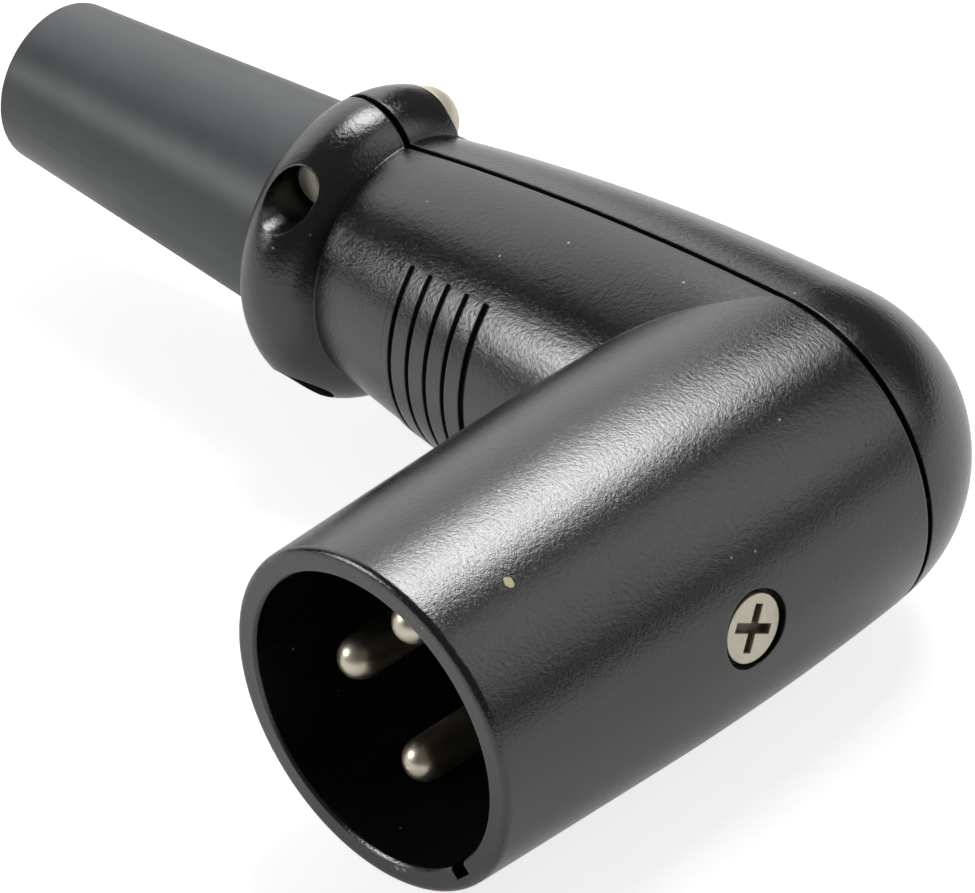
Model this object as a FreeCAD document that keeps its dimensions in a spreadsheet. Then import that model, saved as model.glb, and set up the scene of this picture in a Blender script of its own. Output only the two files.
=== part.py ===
"""Right-angle three-pin cable plug: a straight round barrel, a mitred elbow and a neck that
ends in a clamping collar round a tapered rubber boot.

Frame: the origin is the centre of the mouth on the barrel's axis. The mouth faces -Y, the
boot points along -X and +Z is up, so the plug lies flat as it would on a bench. Millimetres.
"""
import FreeCAD, Part
import Sketcher
import os

os.makedirs("parts", exist_ok=True)
doc = FreeCAD.newDocument("right_angle_plug")
Vector = FreeCAD.Vector

# Driving dimensions

sheet = doc.addObject("Spreadsheet::Sheet", "dims")
dims = {
    "barrel_dia": 19.0,           # outside of the barrel at its mouth
    "barrel_draft": 0.32,         # how much the barrel's radius grows along its straight draft
    "barrel_draft_end": 13.0,     # end of that draft behind the mouth
    "barrel_crown": 180.0,        # large radius along which the barrel then draws in
    "elbow_in": 0.08,             # how far the elbow's radius lies inside the mouth's
    "mouth_wall": 1.35,           # wall of the barrel at its mouth
    "mouth_round": 0.4,           # rounding of the mouth's outer edge
    "mouth_lead": 0.15,           # lead-in at the mouth's inner edge
    "neck_axis": 30.0,            # neck's axis behind the mouth
    "casting_step": 0.03,         # how far the neck and dome lie inside the elbow's radius
    "neck_over_flange": 1.083,    # neck's wall over the boot's flange, at the collar's middle
    "wall": 1.35,                 # wall of the two castings
    "parting_behind": 0.22,       # housing's end face behind the neck's axis
    "parting_gap": 0.42,          # open joint line between housing and cover
    "tongue_wall": 0.6,           # cover's locating tongue
    "tongue_play": 0.1,           # clearance round the tongue
    "tongue_end": 25.4,           # end of the tongue, from the barrel's axis
    "collar_at": 30.4,            # middle of the collar, from the barrel's axis
    "collar_ring": 5.95,          # radius of the collar's round section's centre
    "collar_round": 2.9,          # radius of the collar's round section
    "collar_back_dia": 14.3,      # cover's plain ring between its two bosses
    "collar_back_round": 0.9,     # rounding of that ring's edges
    "boss_back": 4.2,             # flat ends of the bosses behind the neck's axis
    "rib_near": 27.9,             # clamping rib's near face, from the barrel's axis
    "rib_far": 31.7,              # clamping rib's far face, from the barrel's axis
    "rib_dia": 8.4,               # inside of the clamping rib
    "boot_play": 0.1,             # clearance between the castings and the boot
    "flange_wall": 1.8,           # thickness of the boot's inner flange
    "flange_dia": 10.8,           # outside of the boot's inner flange
    "boot_root_dia": 12.64,       # boot where it leaves the collar
    "boot_tip_dia": 9.4,          # boot at its free end
    "boot_end": 55.45,            # boot's free end, from the barrel's axis
    "boot_edge": 0.2,             # rounding of the boot's end edge
    "cable_dia": 6.5,             # cable hole through the boot
    "clamp_at": 30.1,             # clamp screws' axes, from the barrel's axis
    "clamp_spread": 11.8,         # distance between the two clamp screws
    "clamp_shank_dia": 2.5,       # clamp screw's shank
    "clamp_head_dia": 3.8,        # clamp screw's domed head
    "clamp_head_high": 1.6,      # height of that dome
    "clamp_slot": 0.5,            # slot width in the dome
    "clamp_slot_depth": 0.6,      # slot depth in the dome
    "clamp_slot_turn": 46.0,      # angle at which the slots were left
    "clamp_tip_ahead": 4.4,       # clamp screws' flat tips ahead of the neck's axis
    "clamp_tip_edge": 0.2,        # chamfer round those tips
    "clamp_recess_dia": 2.9,      # open hole in the collar's front, ahead of each tip
    "clamp_recess_floor": 4.1,    # floor of that hole ahead of the neck's axis
    "boss_dia": 3.5,              # cover's screw bosses
    "screw_play": 0.1,            # clearance round a screw, on the radius
    "thread_play": 0.02,          # clearance in a threaded hole, on the radius
    "grip_count": 5,              # grip grooves on the neck
    "grip_first": 15.03,          # first groove, from the barrel's axis
    "grip_pitch": 1.4725,         # spacing of the grooves
    "grip_width": 0.34,           # width of a groove
    "grip_depth": 0.3,            # depth of a groove below the neck
    "grip_pad": 0.1,              # height of the pad that carries the grooves
    "grip_margin": 0.7,           # pad beyond the last groove's middle, on the boot's side
    "grip_sweep": 86.0,           # angle that the grooves cover round the neck
    "insert_at": 14.3,            # contact carrier's face behind the mouth
    "insert_wall": 6.7,           # contact carrier's thickness
    "insert_play": 0.1,           # clearance round the contact carrier, on the radius
    "ledge": 0.4,                 # ledge behind the carrier
    "pin_circle_dia": 8.45,       # circle of the three pins
    "pin_dia": 2.3,               # contact pin
    "pin_root_dia": 3.2,          # pin where it sits in the carrier
    "pin_tip": 2.3,               # pins' tips behind the mouth
    "pin_play": 0.03,             # clearance round a pin in the carrier, on the radius
    "pin_flange_dia": 3.9,        # pin's shoulder behind the carrier
    "pin_flange_wall": 0.8,       # thickness of that shoulder
    "cup_dia": 2.8,               # outside of the solder cup
    "cup_bore_dia": 1.9,          # inside of the solder cup
    "cup_reach": 5.0,             # length of the solder cup
    "cup_depth": 3.6,             # depth of the solder cup
    "side_screw_at": 17.2,        # carrier's screw behind the mouth
    "side_turn": 4.4,             # carrier's screw, angle above +X round the barrel's axis
    "side_screw_dia": 2.5,        # carrier screw's shank
    "side_head_dia": 3.7,         # carrier screw's head
    "side_head_wall": 0.75,       # carrier screw's head height
    "side_head_sunk": 0.2,        # head's face below the barrel's widest radius
    "side_hole_dia": 4.3,         # sunk hole round the carrier screw's head
    "side_screw_reach": 4.9,      # carrier screw's length under its head
    "cross_span": 2.6,            # cross recess, tip to tip
    "cross_width": 0.55,          # cross recess, width of an arm
    "cross_depth": 0.5,           # cross recess, depth
    "cross_turn": 61.5,           # angle at which the cross was left
    "nut_wide": 4.5,              # square nut across its flats
    "nut_wall": 1.8,              # square nut's thickness
    "nut_cover": 1.25,            # carrier's wall outside the nut
    "nut_play": 0.1,              # clearance round the nut and the ground tag
    "tag_wall": 0.4,              # ground tag's sheet
    "tag_wide": 3.6,              # ground tag's width
    "tag_reach": 4.4,             # ground tag beyond the carrier
    "tag_eye_dia": 1.5,           # eye in the ground tag's end
    "key_turn": 47.0,             # keyway's angle below +X
    "key_wide": 1.2,              # keyway's width
    "key_deep": 0.7,              # keyway's depth in the bore's wall
    "key_reach": 9.0,             # keyway's length from the mouth
    "catch_at": 5.2,              # latch catch's near edge behind the mouth
    "catch_reach": 2.6,           # latch catch's length
    "catch_wide": 4.6,            # latch catch's width
    "catch_deep": 0.6,            # latch catch's depth in the bore's wall
}
for row, (alias, number) in enumerate(dims.items(), start=1):
    sheet.set("A%d" % row, alias)
    sheet.set("B%d" % row, str(number))
    sheet.setAlias("B%d" % row, alias)
doc.recompute()

# Sizes that follow from the driving ones, written as expressions

BARREL_R = "(dims.barrel_dia / 2)"
WIDE_R = "(dims.barrel_dia / 2 + dims.barrel_draft)"
ELBOW_R = "(dims.barrel_dia / 2 - dims.elbow_in)"
BORE_R = "(dims.barrel_dia / 2 - dims.mouth_wall)"
DOME_R = "(%s - dims.casting_step)" % ELBOW_R
NECK_END_R = "(dims.flange_dia / 2 + dims.boot_play + dims.neck_over_flange)"
NECK_DROP = "(%s - %s)" % (DOME_R, NECK_END_R)
NECK_CROWN = "((dims.collar_at^2 + %s^2) / (2 * %s))" % (NECK_DROP, NECK_DROP)
PARTING = "(dims.neck_axis + dims.parting_behind)"
COVER_RIM = "(dims.parting_behind + dims.parting_gap)"
BOOT_SEAT_R = "(dims.boot_root_dia / 2 + dims.boot_play)"
COLLAR_END = "(dims.collar_at + dims.collar_round)"
CLAMP_OUT = "(dims.clamp_spread / 2)"
INSERT_BACK = "(dims.insert_at + dims.insert_wall)"
INSERT_R = "(%s - dims.insert_play)" % BORE_R
SIDE_FACE = "(%s - dims.side_head_sunk)" % WIDE_R
SIDE_SEAT = "(%s - dims.side_head_wall)" % SIDE_FACE
NUT_OUT = "(%s - dims.nut_cover)" % INSERT_R
TAG_IN = "(%s - dims.nut_wall - dims.tag_wall)" % NUT_OUT
CLAMP_FACE = "(dims.neck_axis + dims.boss_back)"


def neck_r(at, inset="0"):
    """Neck's radius at a distance from the barrel's axis, less an inset, as an expression."""
    crown = "(%s - %s)" % (NECK_CROWN, inset)
    return "(%s - %s - %s + sqrt(%s^2 - (%s)^2))" % (DOME_R, inset, crown, crown, at)


# Sketches and features

def value(expression):
    """Number that an expression gives now."""
    found = sheet.evalExpression(str(expression))
    return float(getattr(found, "Value", found))


def new_body(label):
    body = doc.addObject("PartDesign::Body", label)
    body.Label = label
    doc.recompute()
    return body


def plan_sketch(body, name, shift=("0", "0", "0"), turn=None):
    """Sketch on the body's level plane, moved by three expressions and turned by a rotation."""
    level = [item for item in body.Origin.OriginFeatures if item.Role == "XY_Plane"][0]
    sketch = body.newObject("Sketcher::SketchObject", name)
    sketch.AttachmentSupport = [(level, "")]
    sketch.MapMode = "FlatFace"
    if turn is not None:
        sketch.AttachmentOffset = FreeCAD.Placement(Vector(0, 0, 0), turn)
    for letter, expression in zip("xyz", shift):
        sketch.setExpression("AttachmentOffset.Base." + letter, expression)
    return sketch


def swung_sketch(body, name, axis, angle, at="0"):
    """Level sketch, moved back along the barrel and swung about an axis by a named angle."""
    turn = FreeCAD.Rotation(axis, value(angle))
    sketch = plan_sketch(body, name, ("0", at, "0"), turn)
    sketch.setExpression("AttachmentOffset.Rotation.Angle", angle)
    return sketch


def side_sketch(body, name, at="0"):
    """Level sketch swung up about the barrel's axis, so that its x runs along the side screw."""
    return swung_sketch(body, name, Vector(0, -1, 0), "dims.side_turn", at)


def neck_sketch(body, name):
    """Sketch along the neck: right is the distance towards the boot, up is backwards."""
    flipped = FreeCAD.Rotation(Vector(0, 1, 0), 180)
    return plan_sketch(body, name, ("0", "dims.neck_axis", "0"), flipped)


def neck_front_sketch(body, name):
    """Sketch along the neck: right is the distance towards the boot, up is forwards."""
    turned = FreeCAD.Rotation(Vector(0, 0, 1), 180)
    return plan_sketch(body, name, ("0", "dims.neck_axis", "0"), turned)


def bind(sketch, kind, first, name, expression):
    """Add one constraint of a kind and tie its value to an expression."""
    index = sketch.addConstraint(Sketcher.Constraint(kind, *first, value(expression)))
    sketch.renameConstraint(index, name)
    sketch.setExpression("Constraints." + name, expression)


def outline(sketch, corners):
    """Closed outline. Each corner is (x, y) or (x, y, radius): expressions, and the radius of
    the arc that leads on to the next corner, positive where it bulges to the left."""
    points = [Vector(value(c[0]), value(c[1]), 0) for c in corners]
    first = sketch.GeometryCount
    for number, corner in enumerate(corners):
        start = points[number]
        end = points[(number + 1) % len(points)]
        if len(corner) == 2:
            sketch.addGeometry(Part.LineSegment(start, end), False)
            continue
        radius = value(corner[2])
        along = end - start
        left = Vector(-along.y, along.x, 0).normalize()
        rise = abs(radius) - (radius ** 2 - (along.Length / 2) ** 2) ** 0.5
        middle = (start + end) * 0.5 + left * (rise if radius > 0 else -rise)
        sketch.addGeometry(Part.Arc(start, middle, end), False)
    for number, corner in enumerate(corners):
        here = first + number
        onward = first + (number + 1) % len(corners)
        # An arc is stored counter-clockwise, so one that bulges left has its ends swapped.
        starts = 2 if len(corner) == 3 and value(corner[2]) > 0 else 1
        ends = 3 - starts
        after = corners[(number + 1) % len(corners)]
        next_starts = 2 if len(after) == 3 and value(after[2]) > 0 else 1
        sketch.addConstraint(Sketcher.Constraint("Coincident", here, ends, onward, next_starts))
        bind(sketch, "DistanceX", (-1, 1, here, starts), "across%d" % here, corner[0])
        bind(sketch, "DistanceY", (-1, 1, here, starts), "along%d" % here, corner[1])
        if len(corner) == 3:
            bind(sketch, "Radius", (here,), "round%d" % here, "abs(%s)" % corner[2])
    return sketch


def ring(sketch, x, y, radius):
    """One circle, its centre and radius given as expressions."""
    place = Vector(value(x), value(y), 0)
    number = sketch.addGeometry(Part.Circle(place, Vector(0, 0, 1), value(radius)), False)
    bind(sketch, "DistanceX", (-1, 1, number, 3), "across%d" % number, x)
    bind(sketch, "DistanceY", (-1, 1, number, 3), "along%d" % number, y)
    bind(sketch, "Radius", (number,), "round%d" % number, radius)
    return sketch


def turned(body, kind, name, sketch, axis, angle="360"):
    """Revolution or Groove of a sketch about one of its own axes, even on both sides."""
    feature = body.newObject("PartDesign::" + kind, name)
    feature.Profile = sketch
    feature.ReferenceAxis = (sketch, [axis])
    feature.Midplane = True
    feature.setExpression("Angle", angle)
    sketch.Visibility = False
    doc.recompute()
    return feature


def slab(body, kind, name, sketch, width):
    """Pad or Pocket of a sketch, even on both sides of its plane."""
    feature = body.newObject("PartDesign::" + kind, name)
    feature.Profile = sketch
    feature.SideType = "Symmetric"
    feature.setExpression("Length", width)
    sketch.Visibility = False
    doc.recompute()
    return feature


def box_outline(sketch, low_x, low_y, high_x, high_y):
    return outline(sketch, [(low_x, low_y), (high_x, low_y), (high_x, high_y), (low_x, high_y)])


# Outlines that both castings share, all turned about the neck's axis

def neck_outside(sketch, end):
    """Dome over the elbow, then the neck's slow taper towards the boot."""
    return outline(sketch, [
        ("-" + DOME_R, "0", DOME_R),
        ("0", DOME_R, NECK_CROWN),
        (end, neck_r(end)),
        (end, "0"),
    ])


def cavity(body):
    """Hollow of the elbow and neck, the flange's seat, the rib and the boot's mouth."""
    sketch = neck_sketch(body, body.Name + "_cavity")
    seat = "(dims.rib_near - dims.flange_wall - dims.boot_play)"
    flange_r = "(dims.flange_dia / 2 + dims.boot_play)"
    outline(sketch, [
        ("-(%s - dims.wall)" % DOME_R, "0", "(%s - dims.wall)" % DOME_R),
        ("0", "(%s - dims.wall)" % DOME_R, "(%s - dims.wall)" % NECK_CROWN),
        (seat, neck_r(seat, "dims.wall")),
        (seat, flange_r),
        ("dims.rib_near", flange_r),
        ("dims.rib_near", "dims.rib_dia / 2"),
        ("dims.rib_far", "dims.rib_dia / 2"),
        ("dims.rib_far", BOOT_SEAT_R),
        (COLLAR_END + " + 1", BOOT_SEAT_R),
        (COLLAR_END + " + 1", "0"),
    ])
    return turned(body, "Groove", body.Name + "_hollow", sketch, "H_Axis")


def tongue_outline(sketch, play):
    """Slim step inside the wall that keeps the cover square on the housing."""
    inset = "(dims.wall - dims.tongue_wall - %s)" % play
    radius = "(%s - %s)" % (DOME_R, inset)
    end = "(dims.tongue_end + %s)" % play
    return outline(sketch, [
        ("-" + radius, "0", radius),
        ("0", radius, "(%s - %s)" % (NECK_CROWN, inset)),
        (end, neck_r(end, inset)),
        (end, "0"),
    ])


def clamp_hole(body, name, side, steps):
    """Hole along a clamp screw's axis, from (radius, low y, high y) steps."""
    for number, (radius, low, high) in enumerate(steps):
        place = ("-dims.clamp_at", "0", side + CLAMP_OUT)
        sketch = plan_sketch(body, "%s_%d_sketch" % (name, number), place)
        box_outline(sketch, "0", low, radius, high)
        turned(body, "Groove", "%s_%d" % (name, number), sketch, "V_Axis")


# Housing: barrel, front half of the neck and front half of the collar, one casting

def make_housing():
    body = new_body("housing")
    sketch = plan_sketch(body, "barrel_sketch")
    outline(sketch, [
        ("0", "0"),
        (BARREL_R + " - dims.mouth_round", "0", "-dims.mouth_round"),
        (BARREL_R, "dims.mouth_round"),
        (WIDE_R, "dims.barrel_draft_end", "-dims.barrel_crown"),
        (ELBOW_R, PARTING),
        ("0", PARTING),
    ])
    turned(body, "Revolution", "barrel", sketch, "V_Axis")

    neck_end = "dims.rib_far"
    turned(body, "Revolution", "neck", neck_outside(neck_sketch(body, "neck_sketch"), neck_end), "H_Axis")

    sketch = neck_sketch(body, "collar_sketch")
    ring(sketch, "dims.collar_at", "dims.collar_ring", "dims.collar_round")
    turned(body, "Revolution", "collar", sketch, "H_Axis")

    sketch = neck_front_sketch(body, "grip_pad_sketch")
    last = "(dims.grip_first + (dims.grip_count - 1) * dims.grip_pitch)"
    near = "dims.grip_first"
    far = "(%s + dims.grip_margin)" % last
    outline(sketch, [
        (near, "dims.rib_dia / 2"),
        (near, neck_r(near) + " + dims.grip_pad", NECK_CROWN),
        (far, neck_r(far) + " + dims.grip_pad"),
        (far, "dims.rib_dia / 2"),
    ])
    turned(body, "Revolution", "grip_pad", sketch, "H_Axis", "dims.grip_sweep")

    sketch = plan_sketch(body, "parting_sketch")
    box_outline(sketch, "-dims.boot_end", PARTING, "dims.barrel_dia", PARTING + " + dims.barrel_dia")
    slab(body, "Pocket", "parting", sketch, "dims.barrel_dia * 2")

    sketch = plan_sketch(body, "bore_sketch")
    outline(sketch, [
        ("0", "-1"),
        (BORE_R + " + dims.mouth_lead", "-1"),
        (BORE_R + " + dims.mouth_lead", "0"),
        (BORE_R, "dims.mouth_lead"),
        (BORE_R, INSERT_BACK),
        (BORE_R + " - dims.ledge", INSERT_BACK),
        (BORE_R + " - dims.ledge", "dims.neck_axis"),
        ("0", "dims.neck_axis"),
    ])
    turned(body, "Groove", "bore", sketch, "V_Axis")
    cavity(body)

    sketch = tongue_outline(neck_sketch(body, "rebate_sketch"), "dims.tongue_play")
    turned(body, "Groove", "rebate", sketch, "H_Axis", "180")

    for number in range(int(value("dims.grip_count"))):
        at = "(dims.grip_first + %d * dims.grip_pitch)" % number
        near = "(%s - dims.grip_width / 2)" % at
        far = "(%s + dims.grip_width / 2)" % at
        sketch = neck_front_sketch(body, "grip_%d_sketch" % number)
        floor = neck_r(at) + " - dims.grip_depth"
        top = neck_r(at) + " + dims.grip_pad + 1"
        box_outline(sketch, near, floor, far, top)
        turned(body, "Groove", "grip_%d" % number, sketch, "H_Axis", "dims.grip_sweep")

    tapped = "(dims.clamp_shank_dia / 2 + dims.thread_play)"
    recess = "(dims.clamp_recess_dia / 2)"
    floor = "(dims.neck_axis - dims.clamp_recess_floor)"
    steps = [(recess, "dims.neck_axis - dims.barrel_dia", floor), (tapped, floor, PARTING + " + 1")]
    clamp_hole(body, "clamp_thread_upper", "", steps)
    clamp_hole(body, "clamp_thread_lower", "-", steps)

    sketch = side_sketch(body, "side_sink_sketch", "dims.side_screw_at")
    box_outline(sketch, SIDE_SEAT, "0", WIDE_R + " + 1", "dims.side_hole_dia / 2")
    turned(body, "Groove", "side_sink", sketch, "H_Axis")
    sketch = side_sketch(body, "side_hole_sketch", "dims.side_screw_at")
    box_outline(sketch, "0", "0", WIDE_R, "dims.side_screw_dia / 2 + dims.screw_play")
    turned(body, "Groove", "side_hole", sketch, "H_Axis")

    sketch = swung_sketch(body, "keyway_sketch", Vector(0, 1, 0), "dims.key_turn")
    box_outline(sketch, "0", "-1", BORE_R + " + dims.key_deep", "dims.key_reach")
    slab(body, "Pocket", "keyway", sketch, "dims.key_wide")

    sketch = plan_sketch(body, "catch_sketch")
    box_outline(sketch, "0", "dims.catch_at", BORE_R + " + dims.catch_deep", "dims.catch_at + dims.catch_reach")
    slab(body, "Pocket", "catch", sketch, "dims.catch_wide")
    return body


# Cover: dome over the elbow, back half of the neck and back half of the collar, one casting

def make_cover():
    body = new_body("cover")
    sketch = neck_sketch(body, "boss_band_sketch")
    ring(sketch, "dims.collar_at", "dims.collar_ring", "dims.collar_round")
    turned(body, "Revolution", "boss_band", sketch, "H_Axis")

    sketch = plan_sketch(body, "boss_face_sketch")
    box_outline(sketch, "-dims.boot_end", CLAMP_FACE, "0", CLAMP_FACE + " + dims.barrel_dia")
    slab(body, "Pocket", "boss_face", sketch, "dims.barrel_dia * 2")

    near = "(dims.collar_at - dims.collar_round)"
    back_r = "(dims.collar_back_dia / 2)"
    edge = "dims.collar_back_round"
    sketch = neck_sketch(body, "back_ring_sketch")
    outline(sketch, [
        (near, "dims.rib_dia / 2"),
        (near, back_r + " - " + edge, edge),
        (near + " + " + edge, back_r),
        (COLLAR_END + " - " + edge, back_r, edge),
        (COLLAR_END, back_r + " - " + edge),
        (COLLAR_END, "dims.rib_dia / 2"),
    ])
    turned(body, "Revolution", "back_ring", sketch, "H_Axis")

    for name, side in (("boss_upper", ""), ("boss_lower", "-")):
        sketch = plan_sketch(body, name + "_sketch", ("-dims.clamp_at", "0", side + CLAMP_OUT))
        box_outline(sketch, "0", "dims.neck_axis", "dims.boss_dia / 2", CLAMP_FACE)
        turned(body, "Revolution", name, sketch, "V_Axis")

    sketch = neck_outside(neck_sketch(body, "neck_sketch"), "dims.rib_far")
    turned(body, "Revolution", "neck", sketch, "H_Axis")

    sketch = neck_sketch(body, "parting_sketch")
    box_outline(sketch, "-dims.barrel_dia", "-dims.barrel_dia", COLLAR_END + " + 1", COVER_RIM)
    slab(body, "Pocket", "parting", sketch, "dims.barrel_dia * 2")

    sketch = tongue_outline(neck_sketch(body, "tongue_sketch"), "0")
    turned(body, "Revolution", "tongue", sketch, "H_Axis", "180")
    cavity(body)

    clear = "(dims.clamp_shank_dia / 2 + dims.screw_play)"
    head_clear = "(dims.clamp_head_dia / 2 + dims.screw_play)"
    steps = [
        (clear, "dims.neck_axis", CLAMP_FACE + " + 1"),
        (head_clear, CLAMP_FACE, CLAMP_FACE + " + 2 * dims.clamp_head_high"),
    ]
    clamp_hole(body, "clamp_hole_upper", "", steps)
    clamp_hole(body, "clamp_hole_lower", "-", steps)
    return body


# Boot: one rubber moulding, gripped by the rib between its inner flange and its root

def make_boot():
    body = new_body("boot")
    half_play = "dims.boot_play / 2"
    flange_far = "(dims.rib_near - %s)" % half_play
    root = "(dims.rib_far + %s)" % half_play
    waist_r = "(dims.rib_dia / 2 - %s)" % half_play
    tip_r = "(dims.boot_tip_dia / 2)"
    sketch = neck_sketch(body, "boot_sketch")
    outline(sketch, [
        (flange_far + " - dims.flange_wall", "dims.cable_dia / 2"),
        (flange_far + " - dims.flange_wall", "dims.flange_dia / 2"),
        (flange_far, "dims.flange_dia / 2"),
        (flange_far, waist_r),
        (root, waist_r),
        (root, "dims.boot_root_dia / 2"),
        ("dims.boot_end - dims.boot_edge", tip_r, "dims.boot_edge"),
        ("dims.boot_end", tip_r + " - dims.boot_edge"),
        ("dims.boot_end", "dims.cable_dia / 2"),
    ])
    turned(body, "Revolution", "boot_body", sketch, "H_Axis")
    return body


# Contact carrier: moulded disc with three pin holes, the nut's slot and the screw's hole

def make_insert():
    body = new_body("contact_carrier")
    sketch = plan_sketch(body, "disc_sketch")
    box_outline(sketch, "0", "dims.insert_at", INSERT_R, INSERT_BACK)
    turned(body, "Revolution", "disc", sketch, "V_Axis")

    for name, across, up in PINS:
        sketch = plan_sketch(body, name + "_hole_sketch", (across, "0", up))
        hole_r = "dims.pin_root_dia / 2 + dims.pin_play"
        box_outline(sketch, "0", "dims.insert_at - 1", hole_r, INSERT_BACK + " + 1")
        turned(body, "Groove", name + "_hole", sketch, "V_Axis")

    sketch = side_sketch(body, "nut_slot_sketch")
    low = "dims.side_screw_at - dims.nut_wide / 2 - dims.nut_play"
    box_outline(sketch, TAG_IN + " - dims.nut_play", low, NUT_OUT + " + dims.nut_play", INSERT_BACK + " + 1")
    slab(body, "Pocket", "nut_slot", sketch, "dims.nut_wide + 2 * dims.nut_play")

    sketch = side_sketch(body, "screw_hole_sketch", "dims.side_screw_at")
    deep = "(%s - dims.side_screw_reach - dims.screw_play)" % SIDE_SEAT
    box_outline(sketch, deep, "0", BARREL_R, "dims.side_screw_dia / 2 + dims.screw_play")
    turned(body, "Groove", "screw_hole", sketch, "H_Axis")
    return body


# Contact pins: turned, with a round tip and a solder cup, one on each of three sides

PIN_OUT = "dims.pin_circle_dia / 2"
PINS = [
    ("contact_pin_1", "0", PIN_OUT),
    ("contact_pin_2", "0", "-" + PIN_OUT),
    ("contact_pin_3", "-" + PIN_OUT, "0"),
]


def make_pin(name, across, up):
    body = new_body(name)
    pin_r = "(dims.pin_dia / 2)"
    flange_end = "(%s + dims.pin_flange_wall)" % INSERT_BACK
    cup_end = "(%s + dims.cup_reach)" % flange_end
    sketch = plan_sketch(body, name + "_sketch")
    outline(sketch, [
        ("0", "dims.pin_tip", "-" + pin_r),
        (pin_r, "dims.pin_tip + " + pin_r),
        (pin_r, "dims.insert_at"),
        ("dims.pin_root_dia / 2", "dims.insert_at"),
        ("dims.pin_root_dia / 2", INSERT_BACK),
        ("dims.pin_flange_dia / 2", INSERT_BACK),
        ("dims.pin_flange_dia / 2", flange_end),
        ("dims.cup_dia / 2", flange_end),
        ("dims.cup_dia / 2", cup_end),
        ("dims.cup_bore_dia / 2", cup_end),
        ("dims.cup_bore_dia / 2", cup_end + " - dims.cup_depth"),
        ("0", cup_end + " - dims.cup_depth"),
    ])
    turned(body, "Revolution", name + "_turned", sketch, "V_Axis")
    sketch = plan_sketch(body, name + "_cup_sketch")
    box_outline(sketch, "-dims.cup_dia", cup_end + " - dims.cup_depth", "0", cup_end + " + 1")
    slab(body, "Pocket", name + "_cup_side", sketch, "dims.cup_dia + 1")
    body.setExpression("Placement.Base.x", across)
    body.setExpression("Placement.Base.z", up)
    return body


# Screw that holds the carrier, from outside the barrel

def make_side_screw():
    body = new_body("carrier_screw")
    sketch = plan_sketch(body, "side_screw_sketch")
    tip = "(%s - dims.side_screw_reach)" % SIDE_SEAT
    outline(sketch, [
        (tip, "0"),
        (tip, "dims.side_screw_dia / 2"),
        (SIDE_SEAT, "dims.side_screw_dia / 2"),
        (SIDE_SEAT, "dims.side_head_dia / 2"),
        (SIDE_FACE, "dims.side_head_dia / 2"),
        (SIDE_FACE, "0"),
    ])
    turned(body, "Revolution", "side_screw_turned", sketch, "H_Axis")
    for name, tall, wide in (("cross_a", "dims.cross_span", "dims.cross_width"),
                             ("cross_b", "dims.cross_width", "dims.cross_span")):
        sketch = swung_sketch(body, name + "_sketch", Vector(1, 0, 0), "dims.cross_turn")
        floor = SIDE_FACE + " - dims.cross_depth"
        box_outline(sketch, floor, "-(%s) / 2" % tall, SIDE_FACE + " + 1", "(%s) / 2" % tall)
        slab(body, "Pocket", name, sketch, wide)
    body.Placement = FreeCAD.Placement(Vector(0, 0, 0), FreeCAD.Rotation(Vector(0, -1, 0), 1))
    body.setExpression("Placement.Rotation.Angle", "dims.side_turn")
    body.setExpression("Placement.Base.y", "dims.side_screw_at")
    return body


# Square nut in the carrier, and the ground tag that it presses on

def make_nut():
    body = new_body("square_nut")
    sketch = side_sketch(body, "nut_sketch", "dims.side_screw_at")
    half = "(dims.nut_wide / 2)"
    box_outline(sketch, NUT_OUT + " - dims.nut_wall", "-" + half, NUT_OUT, half)
    slab(body, "Pad", "nut_block", sketch, "dims.nut_wide")
    sketch = side_sketch(body, "nut_thread_sketch", "dims.side_screw_at")
    box_outline(sketch, "0", "0", BARREL_R, "dims.side_screw_dia / 2 + dims.thread_play")
    turned(body, "Groove", "nut_thread", sketch, "H_Axis")
    return body


def make_tag():
    body = new_body("ground_tag")
    tag_end = "(%s + dims.tag_reach)" % INSERT_BACK
    sketch = side_sketch(body, "tag_sketch")
    low = "dims.side_screw_at - dims.nut_wide / 2"
    box_outline(sketch, TAG_IN, low, TAG_IN + " + dims.tag_wall", tag_end)
    slab(body, "Pad", "tag_strip", sketch, "dims.tag_wide")
    holes = [
        ("tag_hole", "dims.side_screw_at", "dims.side_screw_dia / 2 + dims.screw_play"),
        ("tag_eye", tag_end + " - dims.tag_wide / 2", "dims.tag_eye_dia / 2"),
    ]
    for name, at, radius in holes:
        sketch = side_sketch(body, name + "_sketch", at)
        box_outline(sketch, "0", "0", BARREL_R, radius)
        turned(body, "Groove", name, sketch, "H_Axis")
    return body


# Clamp screws: slotted dome on the cover's boss, flat tip in the open hole of the collar's front

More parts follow.
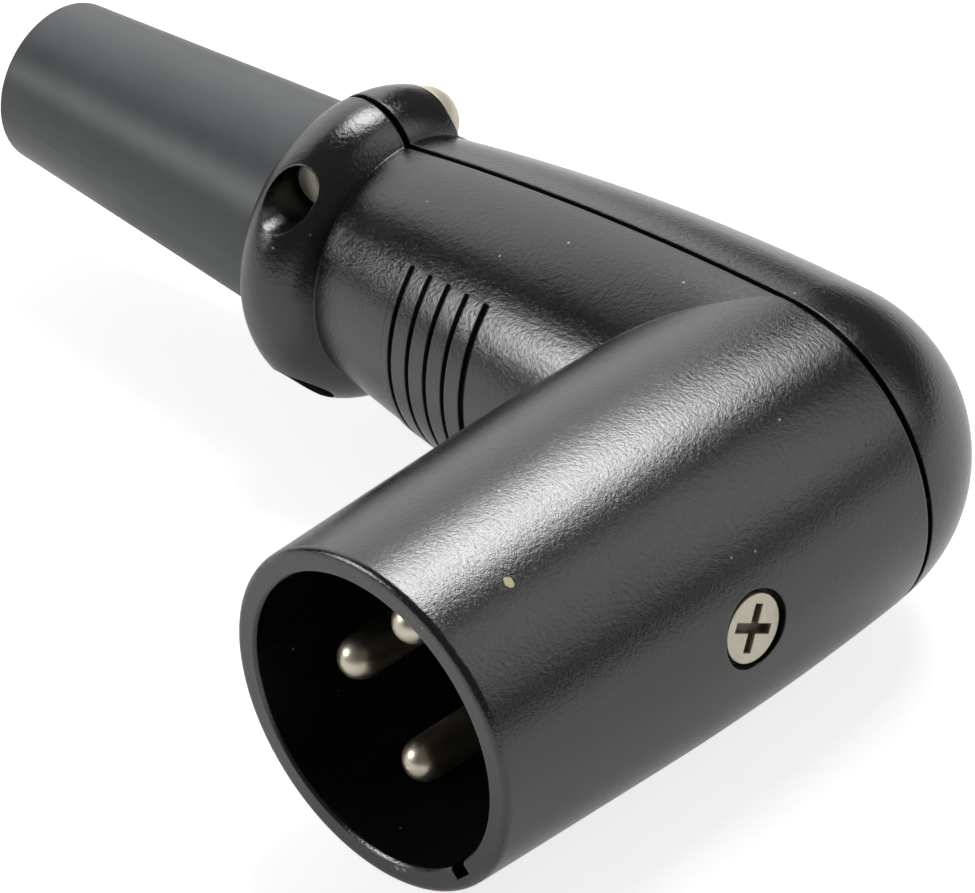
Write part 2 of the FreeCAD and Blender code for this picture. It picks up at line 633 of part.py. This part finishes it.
def make_clamp_screw(name, side):
    body = new_body(name)
    shank_r = "(dims.clamp_shank_dia / 2)"
    head_r = "(dims.clamp_head_dia / 2)"
    tip = "(dims.neck_axis - dims.clamp_tip_ahead)"
    apex = "(%s + dims.clamp_head_high)" % CLAMP_FACE
    dome = "((%s^2 + dims.clamp_head_high^2) / (2 * dims.clamp_head_high))" % head_r
    sketch = plan_sketch(body, name + "_sketch")
    outline(sketch, [
        ("0", tip),
        (shank_r + " - dims.clamp_tip_edge", tip),
        (shank_r, tip + " + dims.clamp_tip_edge"),
        (shank_r, CLAMP_FACE),
        (head_r, CLAMP_FACE, "-" + dome),
        ("0", apex),
    ])
    turned(body, "Revolution", name + "_turned", sketch, "V_Axis")
    sketch = plan_sketch(body, name + "_slot_sketch")
    floor = apex + " - dims.clamp_slot_depth"
    box_outline(sketch, "-dims.clamp_head_dia", floor, "dims.clamp_head_dia", apex + " + 1")
    slab(body, "Pocket", name + "_slot", sketch, "dims.clamp_slot")
    body.Placement = FreeCAD.Placement(Vector(0, 0, 0), FreeCAD.Rotation(Vector(0, 1, 0), 1))
    body.setExpression("Placement.Rotation.Angle", "dims.clamp_slot_turn")
    body.setExpression("Placement.Base.x", "-dims.clamp_at")
    body.setExpression("Placement.Base.z", side + CLAMP_OUT)
    return body


nodes = [make_housing(), make_cover(), make_boot(), make_insert()]
nodes += [make_pin(*pin) for pin in PINS]
nodes += [make_side_screw(), make_nut(), make_tag()]
clamp_screws = doc.addObject("Part::Compound", "clamp_screws")
clamp_screws.Links = [make_clamp_screw("clamp_screw_upper", ""), make_clamp_screw("clamp_screw_lower", "-")]
nodes.append(clamp_screws)
doc.recompute()

# Check every object, then write one file for each node

for item in doc.Objects:
    if "Invalid" in item.State or "Error" in item.State:
        raise RuntimeError("%s failed: %s" % (item.Name, item.State))
for node in nodes:
    if node.Shape.isNull() or not node.Shape.isValid():
        raise RuntimeError("%s has no valid shape" % node.Label)
for node in nodes:
    node.Shape.exportStep("parts/%s.step" % node.Label)
    print(node.Label, len(node.Shape.Solids), "solid", round(node.Shape.Volume, 2), "mm3")
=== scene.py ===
"""Right-angle cable plug as photographed: black spray-painted castings, a grey rubber boot,
nickel-plated pins and bright screws, lying on white paper under soft studio lamps."""
import math
import bpy
from mathutils import Matrix, Vector


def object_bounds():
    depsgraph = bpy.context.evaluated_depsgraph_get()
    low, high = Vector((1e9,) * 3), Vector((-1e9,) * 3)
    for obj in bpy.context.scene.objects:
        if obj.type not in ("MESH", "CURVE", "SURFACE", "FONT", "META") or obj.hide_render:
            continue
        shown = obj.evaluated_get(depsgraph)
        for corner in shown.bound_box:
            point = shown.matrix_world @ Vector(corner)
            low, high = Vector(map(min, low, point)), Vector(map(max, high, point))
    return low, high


MM = 0.001

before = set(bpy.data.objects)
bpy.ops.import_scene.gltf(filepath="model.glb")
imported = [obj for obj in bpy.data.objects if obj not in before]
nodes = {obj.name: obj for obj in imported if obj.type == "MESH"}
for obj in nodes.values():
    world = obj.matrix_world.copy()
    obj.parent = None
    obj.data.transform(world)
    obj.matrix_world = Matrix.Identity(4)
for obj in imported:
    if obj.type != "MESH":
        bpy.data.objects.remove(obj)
cad_low, cad_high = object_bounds()


# Small helpers

def srgb(code):
    """Hex colour as it is seen, turned into the linear values that shaders use."""
    parts = [int(code[i:i + 2], 16) / 255 for i in (1, 3, 5)]
    linear = [c / 12.92 if c <= 0.04045 else ((c + 0.055) / 1.055) ** 2.4 for c in parts]
    return (*linear, 1.0)


def node(tree, kind, settings=None, **links):
    """Add a node. Settings name its properties or its sockets, and links name sockets, with
    spaces as underscores, and give the output that feeds each. A socket that shares its name
    is given by its number, and in a link as an underscore and the number. The two colours of
    a colour mix are sockets 6 and 7, and its result is output 2."""
    made = tree.nodes.new(kind)
    for key, value in (settings or {}).items():
        if isinstance(key, str) and hasattr(made, key):
            setattr(made, key, value)
        else:
            made.inputs[key].default_value = value
    for key, source in links.items():
        name = key.replace("_", " ")
        socket = made.inputs[int(name[1:])] if name[1:].isdigit() else made.inputs[name]
        tree.links.new(source, socket)
    return made


def blank_material(name):
    """New node material, its empty tree and the object coordinates in millimetres. A pattern
    on them has one over its size in millimetres as its scale."""
    material = bpy.data.materials.new(name)
    material.use_nodes = True
    tree = material.node_tree
    tree.nodes.clear()
    place = node(tree, "ShaderNodeTexCoord").outputs["Object"]
    scale = node(tree, "ShaderNodeVectorMath", {"operation": "SCALE", "Scale": 1 / MM}, Vector=place)
    return material, tree, scale.outputs["Vector"]


def close_material(tree, shader):
    """Send the finished shader to the surface."""
    node(tree, "ShaderNodeOutputMaterial", Surface=shader.outputs[0])


def dress(names, material):
    """Give CAD nodes their finish."""
    for name in names:
        piece = nodes[name]
        for holder in piece.material_slots:
            holder.material = material


# Camera where the photograph was taken from, fitted on the barrel, the neck and the boot

SENSOR_WIDTH = 36.0
FOCAL_LENGTH = 264.41
CAMERA_AT = Vector((208.988, -185.349, 211.388))  # millimetres
CAMERA_RIGHT = Vector((0.70646, 0.70582, -0.05228))
CAMERA_UP = Vector((-0.37548, 0.43638, 0.81767))
CAMERA_BACK = Vector((0.59994, -0.55802, 0.57331))

camera_data = bpy.data.cameras.new("camera")
camera_data.sensor_width = SENSOR_WIDTH
camera_data.lens = FOCAL_LENGTH
camera_data.clip_end = 10.0
camera = bpy.data.objects.new("camera", camera_data)
bpy.context.scene.collection.objects.link(camera)
turn = Matrix((CAMERA_RIGHT, CAMERA_UP, CAMERA_BACK)).transposed()
camera.matrix_world = Matrix.Translation(CAMERA_AT * MM) @ turn.to_4x4()
bpy.context.scene.camera = camera


# Black spray paint on zinc castings, semi-gloss: a deep black whose fine orange peel breaks a
# lamp's reflection into grains, with dust caught in it and pale spots where it was knocked off

PEEL = 0.25                     # mm across a swell of the orange peel
PEEL_HIGH = 0.020               # mm
GRAIN = PEEL / 3                # mm across a grain on top of it
GRAIN_HIGH = 0.013              # mm
PAINTED_EDGE = 0.13             # mm radius that the paint gives an edge
THIN_PATCH = 2.857              # mm across a patch where the spray went on thin
DUST_CELL = 2.0                 # mm from speck to speck through the room, few of them on the surface
DUST_OUTSIDE = 0.096            # mm from a speck's middle to where it has faded out
DUST_INSIDE = 0.040             # mm from a speck's middle to where it starts to fade

paint, tree, place = blank_material("semi_gloss_black_spray_paint")
peel = node(
    tree, "ShaderNodeTexNoise", {"Scale": 1 / PEEL, "Detail": 3.0, "Roughness": 0.6}, Vector=place)
grain = node(
    tree, "ShaderNodeTexNoise", {"Scale": 1 / GRAIN, "Detail": 2.0, "Roughness": 0.7}, Vector=place)
rounded = node(tree, "ShaderNodeBevel", {"samples": 6, "Radius": PAINTED_EDGE * MM})
peel_bump = node(
    tree, "ShaderNodeBump", {"Strength": 1.0, "Distance": PEEL_HIGH * MM},
    Height=peel.outputs[0], Normal=rounded.outputs[0])
grain_bump = node(
    tree, "ShaderNodeBump", {"Strength": 1.0, "Distance": GRAIN_HIGH * MM},
    Height=grain.outputs[0], Normal=peel_bump.outputs[0])
patches = node(
    tree, "ShaderNodeTexNoise", {"Scale": 1 / THIN_PATCH, "Detail": 4.0, "Roughness": 0.6},
    Vector=place)
gloss = node(
    tree, "ShaderNodeMapRange", {"From Min": 0.3, "From Max": 0.7, "To Min": 0.06, "To Max": 0.13},
    Value=patches.outputs[0])
dust_cells = node(
    tree, "ShaderNodeTexVoronoi", {"Scale": 1 / DUST_CELL, "Randomness": 1.0}, Vector=place)
dust = node(
    tree, "ShaderNodeMapRange",
    {"From Min": DUST_OUTSIDE / DUST_CELL, "From Max": DUST_INSIDE / DUST_CELL,
     "To Min": 0.0, "To Max": 0.9},
    Value=dust_cells.outputs["Distance"])
dusty = node(
    tree, "ShaderNodeMix", {"data_type": "RGBA", 6: srgb("#191918"), 7: srgb("#B4B5AC")},
    Factor=dust.outputs[0])

# A worn spot reaches out to its size, give or take half of this share of it
RAGGED_SHARE = 0.9
RAGGED = 0.2                    # mm across a notch of a worn spot's edge
SPOT_FADE = 0.05                # share of its size over which a worn spot fades, each side of its edge


def worn_spot(centre, size):
    """One on a spot of the castings where the paint is gone, and nought elsewhere. Centre and
    size are in millimetres."""
    offset = node(tree, "ShaderNodeVectorMath", {"operation": "SUBTRACT", 1: centre}, _0=place)
    scaled = node(
        tree, "ShaderNodeVectorMath", {"operation": "DIVIDE", 1: size}, _0=offset.outputs["Vector"])
    reach = node(tree, "ShaderNodeVectorMath", {"operation": "LENGTH"}, _0=scaled.outputs["Vector"])
    notches = node(
        tree, "ShaderNodeTexNoise", {"Scale": 1 / RAGGED, "Detail": 3.0, "Roughness": 0.6},
        Vector=place)
    edge = node(
        tree, "ShaderNodeMath", {"operation": "MULTIPLY_ADD", 1: RAGGED_SHARE},
        _0=notches.outputs[0], _2=reach.outputs["Value"])
    edge_at = 1 + RAGGED_SHARE / 2
    return node(
        tree, "ShaderNodeMapRange",
        {"From Min": edge_at + SPOT_FADE, "From Max": edge_at - SPOT_FADE,
         "To Min": 0.0, "To Max": 1.0},
        Value=edge.outputs[0])


# The pale chip beside the highlight on the barrel, and two brown knocks on the mouth's lower edge
CHIP_AT = (5.12, 5.10, 8.16)
CHIP_SIZE = (0.32, 0.24, 0.32)
KNOCKS_AT = ((1.7, 0.1, -8.3), (1.2, 0.1, -8.45))
KNOCK_SIZE = (0.22, 0.16, 0.14)

chip = worn_spot(CHIP_AT, CHIP_SIZE)
worn = node(
    tree, "ShaderNodeMix", {"data_type": "RGBA", 7: srgb("#D6D3A6")},
    Factor=chip.outputs[0], _6=dusty.outputs[2])
for knock_at in KNOCKS_AT:
    knock = worn_spot(knock_at, KNOCK_SIZE)
    worn = node(
        tree, "ShaderNodeMix", {"data_type": "RGBA", 7: srgb("#A08874")},
        Factor=knock.outputs[0], _6=worn.outputs[2])
shader = node(
    tree, "ShaderNodeBsdfPrincipled", {"Specular IOR Level": 1.0, "IOR": 1.5},
    Base_Color=worn.outputs[2], Roughness=gloss.outputs[0], Normal=grain_bump.outputs[0])
close_material(tree, shader)
dress(["housing", "cover"], paint)


# Moulded rubber of the boot: dark grey with a satin sheen, faintly mottled by the mould

MOTTLE = 2.0                    # mm across a cloud of the mottle
PORE = 0.1111                   # mm across a pore that the mould's rough face leaves
PORE_DEEP = 0.012               # mm

rubber, tree, place = blank_material("moulded_grey_rubber")
mottle = node(
    tree, "ShaderNodeTexNoise", {"Scale": 1 / MOTTLE, "Detail": 6.0, "Roughness": 0.65}, Vector=place)
tint = node(
    tree, "ShaderNodeMix", {"data_type": "RGBA", 6: srgb("#404344"), 7: srgb("#54585A")},
    Factor=mottle.outputs[0])
pores = node(
    tree, "ShaderNodeTexNoise", {"Scale": 1 / PORE, "Detail": 3.0, "Roughness": 0.6}, Vector=place)
pore_bump = node(
    tree, "ShaderNodeBump", {"Strength": 0.8, "Distance": PORE_DEEP * MM}, Height=pores.outputs[0])
shader = node(
    tree, "ShaderNodeBsdfPrincipled", {"Roughness": 0.36, "IOR": 1.5},
    Base_Color=tint.outputs[2], Normal=pore_bump.outputs[0])
close_material(tree, shader)
dress(["boot"], rubber)


# Glass-filled nylon, moulded: the contact carrier's black face, dulled by fibres just under it

FIBRE_BUNDLE = 0.1667           # mm across a bundle of fibres
FIBRE_HIGH = 0.01               # mm

nylon, tree, place = blank_material("moulded_black_nylon")
fibres = node(
    tree, "ShaderNodeTexNoise", {"Scale": 1 / FIBRE_BUNDLE, "Detail": 3.0, "Roughness": 0.6},
    Vector=place)
fibre_bump = node(
    tree, "ShaderNodeBump", {"Strength": 0.6, "Distance": FIBRE_HIGH * MM}, Height=fibres.outputs[0])
shader = node(
    tree, "ShaderNodeBsdfPrincipled", {"Base Color": srgb("#141516"), "Roughness": 0.5, "IOR": 1.53},
    Normal=fibre_bump.outputs[0])
close_material(tree, shader)
dress(["contact_carrier"], nylon)


# Nickel plate on the turned brass pins: warm and bright, with the lathe's fine rings under it

NICKEL_CLOUD = 0.714            # mm across a cloud of duller plate
LATHE_PITCH = 0.0982            # mm from ring to ring
RING_HIGH = 0.003               # mm
WAVES_PER_UNIT = 10 / math.pi   # how often a wave pattern of scale 1 repeats in a unit of length

nickel, tree, place = blank_material("nickel_plated_brass")
cloud = node(
    tree, "ShaderNodeTexNoise", {"Scale": 1 / NICKEL_CLOUD, "Detail": 4.0, "Roughness": 0.6},
    Vector=place)
satin = node(
    tree, "ShaderNodeMapRange", {"From Min": 0.3, "From Max": 0.7, "To Min": 0.28, "To Max": 0.44},
    Value=cloud.outputs[0])
rings = node(
    tree, "ShaderNodeTexWave",
    {"bands_direction": "Y", "Scale": 1 / LATHE_PITCH / WAVES_PER_UNIT, "Distortion": 1.0,
     "Detail": 2.0},
    Vector=place)
ring_bump = node(
    tree, "ShaderNodeBump", {"Strength": 0.35, "Distance": RING_HIGH * MM}, Height=rings.outputs[1])
shader = node(
    tree, "ShaderNodeBsdfPrincipled", {"Base Color": srgb("#D9D0BE"), "Metallic": 1.0},
    Roughness=satin.outputs[0], Normal=ring_bump.outputs[0])
close_material(tree, shader)
dress(["contact_pin_1", "contact_pin_2", "contact_pin_3"], nickel)


# Bright zinc plate on the screws and the nut: pale, a little cloudy, with painted shade, brown and less
# metallic, deeper down the cross recess of the carrier screw

ZINC_CLOUD = 0.4545             # mm across a cloud of yellower, duller plate
PLATED_EDGE = 0.08              # mm radius of a plated edge
SCREW_RISE = math.radians(4.4)  # the carrier screw's axis rises this far above +X
SCREW_FACE = 9.62               # mm from the barrel's axis out to the carrier screw's face
SCREW_HEAD_ROOT = 8.9           # mm from the barrel's axis, below which no recess reaches
UNSHADED_DEPTH = 0.02              # mm under the face, down to which the recess has no painted shade
SHADED_DEPTH = 0.17              # mm under the face, from which painted shade fills the recess

zinc, tree, place = blank_material("bright_zinc_plated_steel")
cloud = node(
    tree, "ShaderNodeTexNoise", {"Scale": 1 / ZINC_CLOUD, "Detail": 5.0, "Roughness": 0.65},
    Vector=place)
satin = node(
    tree, "ShaderNodeMapRange", {"From Min": 0.3, "From Max": 0.7, "To Min": 0.34, "To Max": 0.50},
    Value=cloud.outputs[0])
tint = node(
    tree, "ShaderNodeMix", {"data_type": "RGBA", 6: srgb("#F3ECDB"), 7: srgb("#E0D8C2")},
    Factor=cloud.outputs[0])
screw_axis = (math.cos(SCREW_RISE), 0.0, math.sin(SCREW_RISE))
# Painted shade: below its face, the carrier screw's cross recess turns brown, standing in for the shade
# that falls in it
out = node(tree, "ShaderNodeVectorMath", {"operation": "DOT_PRODUCT", 1: screw_axis}, _0=place)
sunk = node(
    tree, "ShaderNodeMapRange",
    {"From Min": SCREW_FACE - UNSHADED_DEPTH, "From Max": SCREW_FACE - SHADED_DEPTH,
     "To Min": 0.0, "To Max": 1.0},
    Value=out.outputs["Value"])
on_screw = node(
    tree, "ShaderNodeMath", {"operation": "GREATER_THAN", 1: SCREW_HEAD_ROOT},
    _0=out.outputs["Value"])
recess_shade = node(tree, "ShaderNodeMath", {"operation": "MULTIPLY"}, _0=sunk.outputs[0], _1=on_screw.outputs[0])
shade_in_recess = node(
    tree, "ShaderNodeMix", {"data_type": "RGBA", 7: srgb("#7B7263")},
    Factor=recess_shade.outputs[0], _6=tint.outputs[2])
# The painted shade in the recess also takes the plate's metal shine away
plate = node(
    tree, "ShaderNodeMapRange", {"From Min": 0.0, "From Max": 1.0, "To Min": 0.55, "To Max": 0.1},
    Value=recess_shade.outputs[0])
rounded = node(tree, "ShaderNodeBevel", {"samples": 6, "Radius": PLATED_EDGE * MM})
shader = node(
    tree, "ShaderNodeBsdfPrincipled",
    Base_Color=shade_in_recess.outputs[2], Roughness=satin.outputs[0], Normal=rounded.outputs[0],
    Metallic=plate.outputs[0])
close_material(tree, shader)
dress(["carrier_screw", "square_nut", "clamp_screws"], zinc)


# Tinned brass sheet of the ground tag: straw-coloured, with the tin's uneven shine

TIN_CLOUD = 0.8333              # mm across a cloud of duller tin

tinned, tree, place = blank_material("tinned_brass_sheet")
cloud = node(
    tree, "ShaderNodeTexNoise", {"Scale": 1 / TIN_CLOUD, "Detail": 4.0, "Roughness": 0.6},
    Vector=place)
satin = node(
    tree, "ShaderNodeMapRange", {"From Min": 0.3, "From Max": 0.7, "To Min": 0.3, "To Max": 0.5},
    Value=cloud.outputs[0])
shader = node(
    tree, "ShaderNodeBsdfPrincipled", {"Base Color": srgb("#C9B582"), "Metallic": 1.0},
    Roughness=satin.outputs[0])
close_material(tree, shader)
dress(["ground_tag"], tinned)


# White paper that the plug lies on: the camera sees it white, gloss mirrors it paler than it is
# lit, and it keeps the plug's shadow

PAPER_SIZE = 4.0
PAPER_MIDDLE = (-0.02, 0.02)
PULP_CLOUD = 1.25               # mm across a cloud of the pulp
GLOW_TO_CAMERA = 0.80
GLOW_TO_GLOSS = 0.36

bpy.ops.object.select_all(action="DESELECT")
bpy.ops.mesh.primitive_plane_add(size=PAPER_SIZE, location=(*PAPER_MIDDLE, cad_low.z))
floor = bpy.context.object
floor.name = "paper_floor"
paper, tree, place = blank_material("white_paper")
pulp = node(tree, "ShaderNodeTexNoise", {"Scale": 1 / PULP_CLOUD, "Detail": 3.0}, Vector=place)
tone = node(
    tree, "ShaderNodeMix", {"data_type": "RGBA", 6: srgb("#BCBCBA"), 7: srgb("#C0C0BE")},
    Factor=pulp.outputs[0])
matte = node(tree, "ShaderNodeBsdfDiffuse", Color=tone.outputs[2])
ray = node(tree, "ShaderNodeLightPath")
mirrored = node(
    tree, "ShaderNodeMath", {"operation": "MULTIPLY", 1: GLOW_TO_GLOSS},
    _0=ray.outputs["Is Glossy Ray"])
strength = node(
    tree, "ShaderNodeMath", {"operation": "MULTIPLY_ADD", 1: GLOW_TO_CAMERA},
    _0=ray.outputs["Is Camera Ray"], _2=mirrored.outputs[0])
glow = node(tree, "ShaderNodeEmission", {"Color": srgb("#FFFFFF")}, Strength=strength.outputs[0])
both = node(tree, "ShaderNodeAddShader", _0=matte.outputs[0], _1=glow.outputs[0])
close_material(tree, both)
floor.data.materials.append(paper)


# Studio lamps: soft boxes placed where the castings mirror them in the photograph

LAMPS_AIM = Vector((-0.015, 0.02, 0.0))
LAMP_DISTANCE = 0.7
WALL_DISTANCE = 1.2


def soft_box(name, azimuth, elevation, width, height, level, distance=LAMP_DISTANCE):
    """Soft box at an azimuth in degrees from -Y towards +X, aimed at the plug. Level is what a
    mirror would show of its face, where 1 is white."""
    around = math.radians(azimuth)
    above = math.radians(elevation)
    flat = math.cos(above)
    outwards = Vector((math.sin(around) * flat, -math.cos(around) * flat, math.sin(above)))
    data = bpy.data.lights.new(name, "AREA")
    data.shape = "RECTANGLE"
    data.size = width
    data.size_y = height
    data.energy = level * math.pi * width * height
    lamp = bpy.data.objects.new(name, data)
    bpy.context.scene.collection.objects.link(lamp)
    lamp.location = LAMPS_AIM + outwards * distance
    lamp.rotation_euler = (-outwards).to_track_quat("-Z", "Y").to_euler()


soft_box("lamp_behind", -160, 62, 0.37, 0.24, 11.5)
soft_box("wall_left", -114, 27, 1.20, 1.10, 1.15, WALL_DISTANCE)
soft_box("lamp_front_left", -41, 24, 0.20, 0.23, 11.0)
soft_box("wall_right", 132, 33, 0.34, 0.58, 1.0)


# Empty studio round the plug: white to the camera, and a weak light from all sides

STUDIO_LIGHT = 0.10

world = bpy.data.worlds.new("studio")
bpy.context.scene.world = world
world.use_nodes = True
tree = world.node_tree
tree.nodes.clear()
ray = node(tree, "ShaderNodeLightPath")
level = node(
    tree, "ShaderNodeMapRange",
    {"From Min": 0.0, "From Max": 1.0, "To Min": STUDIO_LIGHT, "To Max": 1.0},
    Value=ray.outputs["Is Camera Ray"])
sky = node(tree, "ShaderNodeBackground", {"Color": srgb("#FFFFFF")}, Strength=level.outputs[0])
node(tree, "ShaderNodeOutputWorld", Surface=sky.outputs[0])
bpy.context.scene.view_settings.view_transform = "Standard"
